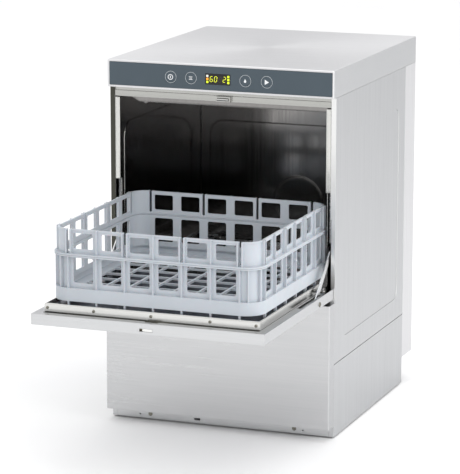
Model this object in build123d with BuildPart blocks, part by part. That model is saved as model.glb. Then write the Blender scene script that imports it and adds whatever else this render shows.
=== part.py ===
"""Under-counter glasswasher with a drop-down door, a 400 mm rack and a built-in water softener.

Millimetres, +X to the right, +Y to the back, +Z up. The origin is on the floor, midway between
the two sides and midway between the open door's front edge and the back of the top cover.
The helpers take y as the distance behind the front edge of the cabinet's sides.
"""
from build123d import *
import math
import os

os.makedirs("parts", exist_ok=True)

# Driving dimensions
width = 450.0            # cabinet
height = 700.0
cabinet_depth = 506.0    # side panels' front edge to the back of the rear cover
door_reach = 376.0       # open door's front edge to the side panels' front edge
sheet = 1.2              # stainless sheet
front = -(cabinet_depth - door_reach) / 2   # front edge of the side panels
side_depth = 436.0       # side panels, front to back
seam_z = 144.0           # joint between the base sides and the embossed side panels
hood_z = 648.0           # underside of the top cover
hood_lip = 14.0          # top cover's overhang in front of the sides
panel_proud = 30.0       # lower front panel and closed door, in front of the sides
half_width = width / 2
chamber_half = 206.0     # wash chamber, inside
chamber_back_y = 424.0
chamber_top = 640.0
tank_rim_z = 284.0
opening_top = 627.0
pivot_y, pivot_z = -14.0, 285.0    # door hinge axis
rack_size = 400.0
rack_front_y = -345.0
rack_bottom_z = 310.0     # underside of its walls
rack_foot_z = 302.0      # and of the small feet below them
rack_mid_z = 372.0       # height of the axis of the rack's carrying pins
rack_top_z = 441.0
arm_center_y = 218.0     # wash arms' spindle
button_z = 672.7
button_x = {"power": -96.0, "program": -55.5, "drain": 52.5, "start": 94.5}
stay_x = 213.0           # middle of each door stay
arm_y, arm_z = -80.0, 277.0       # pin of each stay on the door
slide_y, slide_z = 7.0, 355.0      # upper end of each stay, in its channel
spring_top = 618.0
stay_reach_z = 470.0     # the closing door lifts its stays to just below this height
gap = 0.4                # running gap between bodies


def block(x0, x1, y0, y1, z0, z1, mode=Mode.ADD):
    """A block between two corners."""
    with Locations(((x0 + x1) / 2, front + (y0 + y1) / 2, (z0 + z1) / 2)):
        Box(x1 - x0, y1 - y0, z1 - z0, mode=mode)


def pillar(x, y, z0, z1, radius, mode=Mode.ADD):
    """A cylinder standing along Z."""
    with Locations((x, front + y, (z0 + z1) / 2)):
        Cylinder(radius, z1 - z0, mode=mode)


def rod_x(x0, x1, y, z, radius, mode=Mode.ADD):
    """A cylinder lying along X."""
    with Locations(((x0 + x1) / 2, front + y, z)):
        Cylinder(radius, x1 - x0, rotation=(0, 90, 0), mode=mode)


def rod_y(x, y0, y1, z, radius, mode=Mode.ADD):
    """A cylinder lying along Y."""
    with Locations((x, front + (y0 + y1) / 2, z)):
        Cylinder(radius, y1 - y0, rotation=(90, 0, 0), mode=mode)


def round_block_x(x0, x1, y0, y1, z0, z1, radius, mode=Mode.ADD):
    """A block whose outline in the YZ plane has round corners."""
    with BuildSketch(Plane.YZ.offset(x0)) as outline:
        with Locations((front + (y0 + y1) / 2, (z0 + z1) / 2)):
            RectangleRounded(y1 - y0, z1 - z0, radius)
    extrude(outline.sketch, amount=x1 - x0, mode=mode)


def round_block_y(x0, x1, y0, y1, z0, z1, radius, mode=Mode.ADD):
    """A block whose outline in the XZ plane has round corners."""
    with BuildSketch(Plane.XZ.offset(-(front + y1))) as outline:
        with Locations(((x0 + x1) / 2, (z0 + z1) / 2)):
            RectangleRounded(x1 - x0, z1 - z0, radius)
    extrude(outline.sketch, amount=y1 - y0, mode=mode)


def round_block_z(x0, x1, y0, y1, z0, z1, radius, mode=Mode.ADD):
    """A block whose outline in the XY plane has round corners."""
    with BuildSketch(Plane.XY.offset(z0)) as outline:
        with Locations(((x0 + x1) / 2, front + (y0 + y1) / 2)):
            RectangleRounded(x1 - x0, y1 - y0, radius)
    extrude(outline.sketch, amount=z1 - z0, mode=mode)


def save(piece, name):
    """Labels a finished piece and writes its STEP file."""
    piece.part.label = name
    export_step(piece.part, f"parts/{name}.step")


# ---------------------------------------------------------------- base
foot_x, foot_front_y, foot_back_y = 185.0, 38.0, 398.0
foot_places = [(x, y) for x in (-foot_x, foot_x) for y in (foot_front_y, foot_back_y)]
pan_z = 16.0             # underside of the base pan
inlet_x, drain_x, cable_x = -150.0, -90.0, 150.0
service_z = 36.0         # height of the services behind the cabinet

with BuildPart() as base_pan:
    block(-half_width + 3, half_width - 3, 4, 432, pan_z, pan_z + 42)
    block(-half_width + 5, half_width - 5, 6, 430, pan_z + 2, pan_z + 43, Mode.SUBTRACT)
    for x, y in foot_places:
        pillar(x, y, pan_z + 2, pan_z + 10, 9)
        pillar(x, y, pan_z - 1, pan_z + 11, 5.05, Mode.SUBTRACT)
    for x in (inlet_x, drain_x, cable_x):
        rod_y(x, 425, 435, service_z, 13.5, Mode.SUBTRACT)
save(base_pan, "base_pan")

with BuildPart() as levelling_feet:
    for x, y in foot_places:
        pillar(x, y, 0, 6, 20)
        pillar(x, y, 6, 11, 8.5)
        pillar(x, y, 11, pan_z + 22, 5)
    chamfer(levelling_feet.edges().group_by(Axis.Z)[0], 1)
save(levelling_feet, "levelling_feet")

screw_x, screw_z = 146.6, 12.5
with BuildPart() as plinth_strip:
    block(-half_width + 10.4, half_width - 10.4, 0, sheet, 3, 60)
    block(-half_width + 10.4, half_width - 10.4, 0, 3.6, 56, 60)
    for x in (-screw_x, screw_x):
        rod_y(x, -1, 3, screw_z, 2.3, Mode.SUBTRACT)
    for x in (-168, 164):
        rod_y(x, -1, 3, 10.5, 1.6, Mode.SUBTRACT)
    block(-56, -44, -1, 3, 9, 13, Mode.SUBTRACT)
save(plinth_strip, "plinth_strip")

lower_panel_top = 262.0
with BuildPart() as lower_front_panel:
    block(-half_width, half_width, -panel_proud, -0.2, 24, lower_panel_top)
    fillet(lower_front_panel.edges().filter_by(Axis.Z).group_by(Axis.Y)[0], 2)
    block(-half_width + sheet, half_width - sheet, -panel_proud + sheet, 1,
          24 + sheet, lower_panel_top - sheet, Mode.SUBTRACT)
save(lower_front_panel, "lower_front_panel")

for side, name in ((-1, "left"), (1, "right")):
    outer, inner = side * half_width, side * (half_width - sheet)
    low, high = sorted((outer, inner))
    with BuildPart() as base_side:
        block(low, high, 0, side_depth, 3, seam_z - 0.6)
        turn = sorted((outer, side * (half_width - 10)))
        block(turn[0], turn[1], 0, sheet, 3, seam_z - 0.6)
        block(turn[0], turn[1], 0, 14, seam_z - 1.8, seam_z - 0.6)
        corner = base_side.edges().filter_by(Axis.X).group_by(Axis.Y)[0].sort_by(Axis.Z)[-1]
        fillet(corner, 1.1)
    save(base_side, f"base_side_{name}")

# ---------------------------------------------------------------- outer panels
emboss = (50, 395, 186, 571)      # raised field of each side: y0, y1, z0, z1
emboss_step = 1.0
for side, name in ((-1, "left"), (1, "right")):
    skin = sorted((side * half_width, side * (half_width - sheet)))
    inset = sorted((side * half_width, side * (half_width - emboss_step)))
    back = sorted((side * (half_width - emboss_step), side * (half_width - emboss_step - sheet)))
    flange = sorted((side * half_width, side * (half_width - 9.5)))
    y0, y1, z0, z1 = emboss
    with BuildPart() as side_panel:
        block(skin[0], skin[1], 0, side_depth - 1, seam_z + 0.6, hood_z - 0.4)
        round_block_x(inset[0], inset[1], y0, y1, z0, z1, 20, Mode.SUBTRACT)
        round_block_x(back[0], back[1], y0 - 1, y1 + 1, z0 - 1, z1 + 1, 21)
        block(flange[0], flange[1], 0, sheet, seam_z + 0.6, hood_z - 0.4)
        # room for the door stay to leave the channel
        stay = sorted((side * (stay_x - 4), side * (stay_x + 4)))
        block(stay[0], stay[1], -1, 3, 268, 420, Mode.SUBTRACT)
    save(side_panel, f"side_panel_{name}")

with BuildPart() as rear_cover:
    block(-half_width, half_width, side_depth, cabinet_depth, 54, hood_z - 0.4)
    fillet(rear_cover.edges().filter_by(Axis.Z).group_by(Axis.Y)[-1], 3)
    block(-half_width + sheet, half_width - sheet, side_depth - 1, cabinet_depth - sheet,
          54 + sheet, hood_z, Mode.SUBTRACT)
    for x in range(-150, 151, 30):
        block(x - 10, x + 10, cabinet_depth - 2, cabinet_depth + 1, 90, 93, Mode.SUBTRACT)
        block(x - 10, x + 10, cabinet_depth - 2, cabinet_depth + 1, 100, 103, Mode.SUBTRACT)
save(rear_cover, "rear_cover")

branch_z, over_z, branch_r = 170.0, 656.0, 10.0   # pipe to the upper arms, below and above
with BuildPart() as back_panel:
    block(-half_width + 3, half_width - 3, 433, 433 + sheet, 3, hood_z - 0.4)
    rod_y(inlet_x, 430, 437, service_z, 13.5, Mode.SUBTRACT)
    rod_y(drain_x, 430, 437, service_z, 13.5, Mode.SUBTRACT)
    rod_y(cable_x, 430, 437, service_z, 10.3, Mode.SUBTRACT)
    rod_y(0, 430, 437, branch_z, branch_r + 0.5, Mode.SUBTRACT)
    rod_y(0, 430, 437, over_z, branch_r + 0.5, Mode.SUBTRACT)
save(back_panel, "back_panel")

fascia_z0, fascia_z1 = 651.7, 696.0
with BuildPart() as top_cover:
    block(-half_width, half_width, -hood_lip, cabinet_depth, hood_z, height)
    fillet(top_cover.edges().filter_by(Axis.Z), 2.5)
    fillet(top_cover.edges().group_by(Axis.Z)[-1], 2.5)
    block(-half_width + sheet, half_width - sheet, -hood_lip + sheet, cabinet_depth - sheet,
          hood_z - 1, height - sheet, Mode.SUBTRACT)
    block(-half_width + 4.5, half_width - 3.5, -hood_lip - 1, -hood_lip + 2, fascia_z0, fascia_z1,
          Mode.SUBTRACT)
    # bottom lip of the front
    block(-half_width + sheet, half_width - sheet, -hood_lip + sheet, -hood_lip + 12,
          hood_z, hood_z + sheet)
save(top_cover, "top_cover")

# ---------------------------------------------------------------- fascia and controls
fascia_x0, fascia_x1 = -220.2, 221.2
fascia_y0 = -hood_lip - 1.2       # the fascia stands just proud of the cover
with BuildPart() as fascia:
    round_block_y(fascia_x0, fascia_x1, fascia_y0, fascia_y0 + 3, fascia_z0 + 0.3, fascia_z1 - 0.3, 2.5)
    block(-215, 215, fascia_y0 + 3, fascia_y0 + 7, fascia_z0 + 3, fascia_z0 + 5)
    block(-215, 215, fascia_y0 + 3, fascia_y0 + 7, fascia_z1 - 5, fascia_z1 - 3)
    for x in button_x.values():
        rod_y(x, fascia_y0 - 1, fascia_y0 + 4, button_z, 10.4, Mode.SUBTRACT)
    block(-27, 23, fascia_y0 - 1, fascia_y0 + 4, 662.5, 683, Mode.SUBTRACT)
save(fascia, "fascia")

with BuildPart() as display_window:
    block(-26.8, 22.8, fascia_y0 + 0.2, fascia_y0 + 2.4, 662.7, 682.8)
    block(-28.5, 24.5, fascia_y0 + 3.1, fascia_y0 + 4.2, 661, 684.5)
    block(-26, 22, fascia_y0 + 2.3, fascia_y0 + 3.2, 663.5, 682)
save(display_window, "display_window")

for name, x in button_x.items():
    with BuildPart() as button:
        rod_y(x, fascia_y0 - 1.4, fascia_y0 + 4, button_z, 10.0)
        rod_y(x, fascia_y0 + 4, fascia_y0 + 5.5, button_z, 11.6)
        rod_y(x, fascia_y0 + 5.5, fascia_y0 + 8.5, button_z, 2.2)
        fillet(button.edges().filter_by(GeomType.CIRCLE).group_by(Axis.Y)[0], 0.9)
    save(button, f"{name}_button")

board_y = fascia_y0 + 15
with BuildPart() as control_board:
    block(-118, 118, board_y, board_y + 1.6, 658, 690)
    block(-24, 20, fascia_y0 + 5, board_y, 665, 680.5)
    for x in button_x.values():
        block(x - 3, x + 3, fascia_y0 + 9.6, board_y, button_z - 3, button_z + 3)
    for x in (-110, 110):
        block(x - 4, x + 4, board_y + 1.6, board_y + 16, 664, 684)
    for x in range(-70, 80, 28):
        block(x - 9, x + 9, board_y + 1.6, board_y + 14, 668, 680)
save(control_board, "control_board")

# ---------------------------------------------------------------- front frame
with BuildPart() as front_header:
    block(-half_width + 10, half_width - 10, 0, sheet, opening_top + 2, 640)
    block(-half_width + 10, half_width - 10, 0, 7.6, opening_top + 2, opening_top + 2 + sheet)
    block(-half_width + 3, half_width - 3, 2, 3.2, 640 - 2, hood_z - 0.6)
    # housing of the sprung latch roller
    block(-9, 19, -7, 0, 629.5, 639.5)
    block(-6.6, 16.6, -8, 2.5, 631.6, 636.8, Mode.SUBTRACT)
save(front_header, "front_header")

latch_y, latch_z = -8.2, 634.2
with BuildPart() as latch_roller:
    rod_x(-6.2, 16.2, latch_y, latch_z, 2.2)
    block(2, 8, latch_y, 2.2, latch_z - 1.4, latch_z + 1.4)
save(latch_roller, "latch_roller")

# ---------------------------------------------------------------- wash chamber
for side, name in ((-1, "left"), (1, "right")):
    face, back_face = side * chamber_half, side * (chamber_half + sheet)
    wall = sorted((face, back_face))
    raised = sorted((face, side * (chamber_half - 1.0)))
    with BuildPart() as chamber_side:
        block(wall[0], wall[1], 8, chamber_back_y, tank_rim_z, chamber_top)
        round_block_x(raised[0], raised[1], 20, 297, 340, 575, 30)
        # flange that closes the front of the stay's channel above the stay
        flange = sorted((face, side * (half_width - 9.9)))
        block(wall[0], wall[1], 0, 9, stay_reach_z, opening_top)
        block(flange[0], flange[1], 0, sheet, stay_reach_z, opening_top)
        # lug that holds the top of the stay's spring
        lug = sorted((back_face, side * (stay_x + 3)))
        block(lug[0], lug[1], slide_y + 2, slide_y + 12, spring_top + 0.2, spring_top + 8)
    save(chamber_side, f"chamber_side_{name}")

with BuildPart() as chamber_back:
    block(-chamber_half, chamber_half, chamber_back_y + 0.1, chamber_back_y + 0.1 + sheet,
          tank_rim_z, chamber_top)
    round_block_y(-185, 194, chamber_back_y - 1.6, chamber_back_y + 0.2, 305, 520, 30)
    rod_y(6, chamber_back_y - 3.2, chamber_back_y, 362, 52)
    rod_y(6, chamber_back_y - 4, chamber_back_y - 2.4, 362, 49, Mode.SUBTRACT)
save(chamber_back, "chamber_back")

lip_z = 617.0
with BuildPart() as chamber_ceiling:
    block(-chamber_half - sheet, chamber_half + sheet, 11.2, chamber_back_y + 1.3,
          chamber_top + 0.1, chamber_top + 0.1 + sheet)
    # drip lip along the front edge of the ceiling, with a sloping end and a small locating nub
    with BuildSketch(Plane.XZ.offset(-(front + 21.2))):
        with BuildLine():
            Polyline((-189, chamber_top + 0.2), (-189, lip_z + 8), (-174, lip_z), (-166, lip_z),
                     (-161, lip_z - 3.6), (-156, lip_z), (chamber_half - 0.5, lip_z),
                     (chamber_half - 0.5, chamber_top + 0.2), close=True)
        make_face()
    extrude(amount=sheet)
    block(-174, chamber_half - 0.5, 21.2, 27, lip_z, lip_z + sheet)
    pillar(0, arm_center_y, chamber_top - 1, chamber_top + 3, 8.2, Mode.SUBTRACT)
save(chamber_ceiling, "chamber_ceiling")

sump_z = 208.0
corner_x, corner_y = 158.0, 386.0      # overflow pipe and filter basket, at the back corners
heater_x, heater_y = 110.0, 238.0      # where the tank heater comes through the floor
softener_x, softener_y = -160.0, 140.0
cap_y = softener_y - 8
with BuildPart() as wash_tank:
    block(-chamber_half, chamber_half, 12, chamber_back_y, sump_z, tank_rim_z - 0.2)
    fillet(wash_tank.edges().filter_by(Axis.Z), 12)
    fillet(wash_tank.edges().group_by(Axis.Z)[0], 10)
    offset(amount=-1.5, openings=wash_tank.faces().sort_by(Axis.Z)[-1])
    # suction well, overflow socket, heater glands and spindle foot
    pillar(120, 330, sump_z - 24, sump_z + 1, 34)
    pillar(120, 330, sump_z - 22.5, sump_z + 3, 32.5, Mode.SUBTRACT)
    pillar(-corner_x, corner_y, sump_z - 20, sump_z + 6, 20)
    pillar(-corner_x, corner_y, sump_z - 21, sump_z + 7, 15.4, Mode.SUBTRACT)
    for x in (-heater_x, heater_x):
        pillar(x, heater_y, sump_z - 2, sump_z + 3, 4.4, Mode.SUBTRACT)
    pillar(softener_x, cap_y, sump_z - 2, sump_z + 3, 27.4, Mode.SUBTRACT)
    pillar(0, arm_center_y, sump_z - 12, sump_z + 2, 17)
    pillar(0, arm_center_y, sump_z - 13, sump_z + 3, 12.6, Mode.SUBTRACT)
    # sill across the front, between the door hinges
    block(-chamber_half, chamber_half, 4, 13, tank_rim_z - 14, tank_rim_z - 12.8)
    block(-chamber_half, chamber_half, 4, 5.2, tank_rim_z - 34, tank_rim_z - 12.8)
save(wash_tank, "wash_tank")

guide_z = rack_foot_z - gap
with BuildPart() as rack_guides:
    for side in (-1, 1):
        shelf = sorted((side * (chamber_half - 0.2), side * 186))
        stop = sorted((side * (chamber_half - 0.2), side * (chamber_half - 1.7)))
        block(shelf[0], shelf[1], 16, 408, guide_z - 1.5, guide_z)
        block(stop[0], stop[1], 16, 408, guide_z - 12, guide_z)
        round_end = sorted((side * 186, side * 187.5))
        block(round_end[0], round_end[1], 16, 408, guide_z - 5, guide_z)
save(rack_guides, "rack_guides")

filter_z = 268.0
with BuildPart() as tank_filter:
    round_block_z(-200, 200, 18, 418, filter_z, filter_z + 1.2, 12)
    round_block_z(-200, 200, 18, 418, filter_z, filter_z + 8, 12)
    round_block_z(-198.8, 198.8, 19.2, 416.8, filter_z + 1.2, filter_z + 9, 11, Mode.SUBTRACT)
    pillar(0, arm_center_y, filter_z - 1, filter_z + 9, 22, Mode.SUBTRACT)
    pillar(-corner_x, corner_y, filter_z - 1, filter_z + 9, 20, Mode.SUBTRACT)
    pillar(corner_x, corner_y, filter_z - 1, filter_z + 9, 27, Mode.SUBTRACT)
    with Locations((0, front + arm_center_y, filter_z)):
        with GridLocations(32, 32, 11, 11):
            Cylinder(5, 6, mode=Mode.SUBTRACT)
save(tank_filter, "tank_filter")

with BuildPart() as filter_basket:
    pillar(corner_x, corner_y, filter_z - 50, filter_z + 3, 24)
    pillar(corner_x, corner_y, filter_z + 1.6, filter_z + 3, 26)
    pillar(corner_x, corner_y, filter_z - 48.5, filter_z + 4, 22.8, Mode.SUBTRACT)
    block(corner_x - 23, corner_x + 23, corner_y - 1.5, corner_y + 1.5, filter_z - 1, filter_z + 2)
    for z in (filter_z - 40, filter_z - 28, filter_z - 16):
        with Locations((corner_x, front + corner_y, z)):
            with PolarLocations(0, 8):
                Box(60, 7, 5, mode=Mode.SUBTRACT)
save(filter_basket, "filter_basket")

with BuildPart() as overflow_pipe:
    pillar(-corner_x, corner_y, sump_z - 14, filter_z + 14, 15)
    fillet(overflow_pipe.edges().group_by(Axis.Z)[-1], 3)
    pillar(-corner_x, corner_y, sump_z - 15, filter_z + 4, 12.5, Mode.SUBTRACT)
    with Locations((-corner_x, front + corner_y, filter_z - 14)):
        with PolarLocations(0, 6):
            Box(60, 8, 5, mode=Mode.SUBTRACT)
    block(-corner_x - 4, -corner_x + 4, corner_y - 2, corner_y + 2, filter_z + 13, filter_z + 22)
    fillet(overflow_pipe.edges().group_by(Axis.Z)[-1], 1.5)
save(overflow_pipe, "overflow_pipe")

# ---------------------------------------------------------------- wash and rinse arms
wash_arm_length, rinse_arm_length = 368.0, 340.0
lower_wash_z, lower_rinse_z = 283.0, 296.2
upper_wash_z, upper_rinse_z = 627.0, 619.0


def spray_arm(z, thick, length, arm_width, angle, nozzles, bore, nozzle_side):
    """A flat hollow arm on a round hub, with nozzles along its face."""
    with BuildSketch(Plane.XY.offset(z)) as outline:
        with Locations((0, front + arm_center_y)):
            SlotOverall(length, arm_width, rotation=angle)
            Circle(arm_width * 0.78)
            Circle(bore, mode=Mode.SUBTRACT)
    extrude(outline.sketch, amount=thick)
    spread = length / 2 - 16
    along = math.radians(angle)
    for i in range(nozzles):
        reach = -spread + 2 * spread * i / (nozzles - 1)
        if abs(reach) > arm_width:
            x, y = reach * math.cos(along), arm_center_y + reach * math.sin(along)
            tip = z + thick if nozzle_side > 0 else z
            pillar(x, y, tip - 1.2, tip + 1.2, 3.6)
            pillar(x, y, tip - 3, tip + 3, 1.5, Mode.SUBTRACT)


with BuildPart() as lower_spindle:
    pillar(0, arm_center_y, sump_z - 14, 278, 12.4)
    pillar(0, arm_center_y, 278, 281.6, 15)
    pillar(0, arm_center_y, 281.6, 302, 6)
    pillar(0, arm_center_y, sump_z - 15, 276, 9.5, Mode.SUBTRACT)
    pillar(0, arm_center_y, 301.6, 304.4, 11)
save(lower_spindle, "lower_spindle")

with BuildPart() as lower_wash_arm:
    spray_arm(lower_wash_z, 8, wash_arm_length, 34, 20, 13, 6.05, 1)
save(lower_wash_arm, "lower_wash_arm")

with BuildPart() as lower_rinse_arm:
    spray_arm(lower_rinse_z, 4.6, rinse_arm_length, 18, -38, 11, 6.05, 1)
save(lower_rinse_arm, "lower_rinse_arm")

with BuildPart() as upper_spindle:
    pillar(0, arm_center_y, 636.6, chamber_top, 15)
    pillar(0, arm_center_y, chamber_top - 1, 646, 8)
    pillar(0, arm_center_y, 616, 637, 6)
    pillar(0, arm_center_y, 615.8, 617.6, 11)
save(upper_spindle, "upper_spindle")

with BuildPart() as upper_wash_arm:
    spray_arm(upper_wash_z, 8, wash_arm_length, 34, -24, 13, 6.05, -1)
save(upper_wash_arm, "upper_wash_arm")

with BuildPart() as upper_rinse_arm:
    spray_arm(upper_rinse_z, 4.4, rinse_arm_length, 18, 34, 11, 6.05, -1)
save(upper_rinse_arm, "upper_rinse_arm")

# ---------------------------------------------------------------- machinery in the base
pump_x, pump_y, pump_z = 120.0, 330.0, 120.0
with BuildPart() as wash_pump:
    rod_y(pump_x, 120, 262, pump_z, 52)
    fillet(wash_pump.edges().group_by(Axis.Y)[0], 8)
    block(pump_x - 30, pump_x + 30, 150, 240, pump_z - 66, pump_z - 40)
    rod_y(pump_x, 262, 276, pump_z, 30)
    # volute with suction and delivery branches
    rod_y(pump_x, 276, 352, pump_z, 50)
    rod_y(pump_x, 281, 347, pump_z, 45, Mode.SUBTRACT)
    pillar(pump_x, pump_y, pump_z + 40, sump_z - 24.2, 22)
    pillar(pump_x, pump_y, pump_z + 39, sump_z - 23, 19, Mode.SUBTRACT)
    rod_x(pump_x - 90, pump_x - 40, 314, pump_z - 20, 16)
    rod_x(pump_x - 91, pump_x - 39, 314, pump_z - 20, 13, Mode.SUBTRACT)
    rod_y(pump_x, 250, 283, pump_z, 6.05, Mode.SUBTRACT)
save(wash_pump, "wash_pump")

with BuildPart() as pump_impeller:
    rod_y(pump_x, 252, 318, pump_z, 6)
    rod_y(pump_x, 284, 292, pump_z, 38)
    with Locations(Plane(origin=(pump_x, front + 300, pump_z), z_dir=(0, 1, 0))):
        with PolarLocations(22, 6):
            Box(30, 3, 18)
save(pump_impeller, "pump_impeller")

riser_r = 14.0
elbow_x = pump_x - 90
with BuildPart() as wash_riser:
    rod_x(14, elbow_x - 0.2, 314, pump_z - 20, riser_r)
    pillar(0, 314, pump_z - 20, 170, riser_r)
    with Locations((0, front + 314, pump_z - 20)):
        Sphere(riser_r)
    rod_x(0, 20, 314, pump_z - 20, riser_r)
    rod_y(0, arm_center_y, 314, 170, riser_r)
    pillar(0, arm_center_y, 170, sump_z - 14.2, riser_r)
    with Locations((0, front + arm_center_y, 170)):
        Sphere(riser_r)
    # branch that climbs behind the chamber and crosses over it to the upper arms
    rod_y(0, 314, 455, branch_z, branch_r)
    pillar(0, 455, branch_z, over_z, branch_r)
    rod_y(0, arm_center_y, 455, over_z, branch_r)
    pillar(0, arm_center_y, 646.3, over_z, branch_r)
    for y, z, radius in ((455, branch_z, branch_r), (455, over_z, branch_r),
                         (arm_center_y, over_z, branch_r), (314, branch_z, riser_r)):
        with Locations((0, front + y, z)):
            Sphere(radius)
save(wash_riser, "wash_riser")

boiler_x, boiler_y = -78.0, 300.0
with BuildPart() as rinse_boiler:
    pillar(boiler_x, boiler_y, 66, 190, 56)
    fillet(rinse_boiler.edges().group_by(Axis.Z)[-1], 20)
    pillar(boiler_x, boiler_y, 64, 176, 53.5, Mode.SUBTRACT)
    pillar(boiler_x, boiler_y, 60, 66, 59)
    for x in (boiler_x - 22, boiler_x + 22):
        pillar(x, boiler_y, 188, 198, 6)
save(rinse_boiler, "rinse_boiler")

heater_z, heater_r = 228.0, 4.0
with BuildPart() as tank_element:
    for x in (-heater_x, heater_x):
        rod_y(x, 66, heater_y, heater_z, heater_r)
        pillar(x, heater_y, sump_z - 10, heater_z, heater_r)
        pillar(x, heater_y, sump_z + 1.8, sump_z + 5, 9)
        for y in (66, heater_y):
            with Locations((x, front + y, heater_z)):
                Sphere(heater_r + 0.01)
    rod_x(-heater_x, heater_x, 66, heater_z, heater_r)
save(tank_element, "tank_element")

with BuildPart() as inlet_valve:
    rod_y(inlet_x, 380, 436, service_z, 11)
    rod_y(inlet_x, 434.4, 440, service_z, 15.5)
    rod_y(inlet_x, 440, 462, service_z, 13.2)
    rod_y(inlet_x, 396, 464, service_z, 8, Mode.SUBTRACT)
    block(inlet_x - 17, inlet_x + 17, 352, 392, service_z - 14, service_z + 30)
    pillar(inlet_x, 372, service_z + 30, service_z + 48, 14)
save(inlet_valve, "inlet_valve")

with BuildPart() as drain_pump:
    rod_y(drain_x + 10, 60, 110, 70, 30)
    rod_y(drain_x + 10, 110, 150, 70, 38)
    block(drain_x - 12, drain_x + 32, 70, 140, 22, 40)
    pillar(drain_x + 10, 130, 100, 120, 12)
save(drain_pump, "drain_pump")

with BuildPart() as drain_outlet:
    rod_y(drain_x, 420, 436, service_z, 13)
    rod_y(drain_x, 434.4, 438, service_z, 17)
    rod_y(drain_x, 438, 470, service_z, 12)
    rod_y(drain_x, 425, 471, service_z, 9, Mode.SUBTRACT)
save(drain_outlet, "drain_outlet")

with BuildPart() as dosing_pumps:
    for x in (20, 84):
        block(x - 22, x + 22, 40, 92, 24, 70)
        rod_y(x, 34, 40, 52, 19)
        rod_y(x, 92, 128, 47, 15)
save(dosing_pumps, "dosing_pumps")

neck_top = sump_z + 4
with BuildPart() as water_softener:
    round_block_z(softener_x - 40, softener_x + 40, softener_y - 60, softener_y + 60, 24, 180, 16)
    pillar(softener_x, cap_y, 180, neck_top, 27)
    pillar(softener_x, cap_y, 60, neck_top + 1, 22.4, Mode.SUBTRACT)
save(water_softener, "water_softener")

with BuildPart() as salt_cap:
    pillar(softener_x, cap_y, neck_top - 12, neck_top + 1, 22)
    pillar(softener_x, cap_y, neck_top + 0.4, neck_top + 7, 29)
    block(softener_x - 25, softener_x + 25, cap_y - 3, cap_y + 3, neck_top + 6, neck_top + 12)
save(salt_cap, "salt_cap")

with BuildPart() as cable_gland:
    rod_y(cable_x, 426, 436, service_z, 10)
    rod_y(cable_x, 434.4, 440, service_z, 14)
    rod_y(cable_x, 440, 456, service_z, 11)
    rod_y(cable_x, 425, 457, service_z, 5, Mode.SUBTRACT)
save(cable_gland, "cable_gland")

# ---------------------------------------------------------------- door, stored open and level
door_half = 222.5
door_low, door_top = pivot_z - 16, pivot_z + 4
door_front = -door_reach
door_rear = pivot_y + 13
with BuildPart() as door_outer:
    block(-door_half, door_half, door_front, door_rear, door_low, door_top)
    fillet(door_outer.edges().filter_by(Axis.Y).group_by(Axis.Z)[0], 1.5)
    block(-door_half + sheet, door_half - sheet, door_front + sheet, door_rear + 1,
          door_low + sheet, door_top + 1, Mode.SUBTRACT)
    # folded rim along the front and the two sides
    block(-door_half + sheet, door_half - sheet, door_front + sheet, door_front + 16,
          door_top - sheet, door_top)
    for side in (-1, 1):
        rim = sorted((side * (door_half - sheet), side * 206))
        block(rim[0], rim[1], door_front + 16, pivot_y - 26, door_top - sheet, door_top)
    for side in (-1, 1):
        slot = sorted((side * (stay_x - 3.5), side * (stay_x + 4)))
        block(slot[0], slot[1], -170, pivot_y - 40, door_top - 2, door_top + 1, Mode.SUBTRACT)
    # slot in the front edge, and the latch roller's seat in the rim behind it
    block(-13, 12, door_front - 1, door_front + 3, 274, 279.4, Mode.SUBTRACT)
    seat_y = pivot_y - (latch_z - pivot_z)
    block(-8, 18, seat_y - 3.2, seat_y + 3.4, door_top - 2, door_top + 1, Mode.SUBTRACT)
save(door_outer, "door_outer")

liner_half = 205.5
liner_front = -354.0
liner_rear = pivot_y - 18
liner_top = pivot_z + 20
rim = 3.2
liner_screws = (-200, -110, 0, 112, 198)
with BuildPart() as door_inner:
    block(-liner_half, liner_half, liner_front, liner_rear, door_top - 6, liner_top)
    fillet(door_inner.edges().group_by(Axis.Z)[-1], 2.5)
    block(-liner_half + sheet, liner_half - sheet, liner_front + sheet, liner_rear - sheet,
          door_top - 7, liner_top - sheet, Mode.SUBTRACT)
    # the rack's feet stand in a shallow well inside a narrow rim
    block(-liner_half + 1, liner_half - 1, liner_front + 1, liner_rear - 1,
          liner_top - 6.2, liner_top - 2)
    block(-liner_half + rim, liner_half - rim, liner_front + rim, liner_rear + 1,
          liner_top - 5, liner_top + 1, Mode.SUBTRACT)
    for x in liner_screws:
        rod_y(x, liner_front - 1, liner_front + 4, 297, 1.7, Mode.SUBTRACT)
save(door_inner, "door_inner")

with BuildPart() as door_screws:
    for x in liner_screws:
        rod_y(x, liner_front - 1.8, liner_front, 297, 3.4)
        rod_y(x, liner_front, liner_front + 7, 297, 1.65)
        block(x - 2.2, x + 2.2, liner_front - 2, liner_front - 1, 296.6, 297.4, Mode.SUBTRACT)
save(door_screws, "door_screws")

with BuildPart() as door_insulation:
    block(-188, 188, door_front + 20, pivot_y - 68, door_low + 1.4, door_top - 7)
    block(-188, 188, liner_front + 12, pivot_y - 68, door_top - 7.1, liner_top - 7)
save(door_insulation, "door_insulation")

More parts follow.
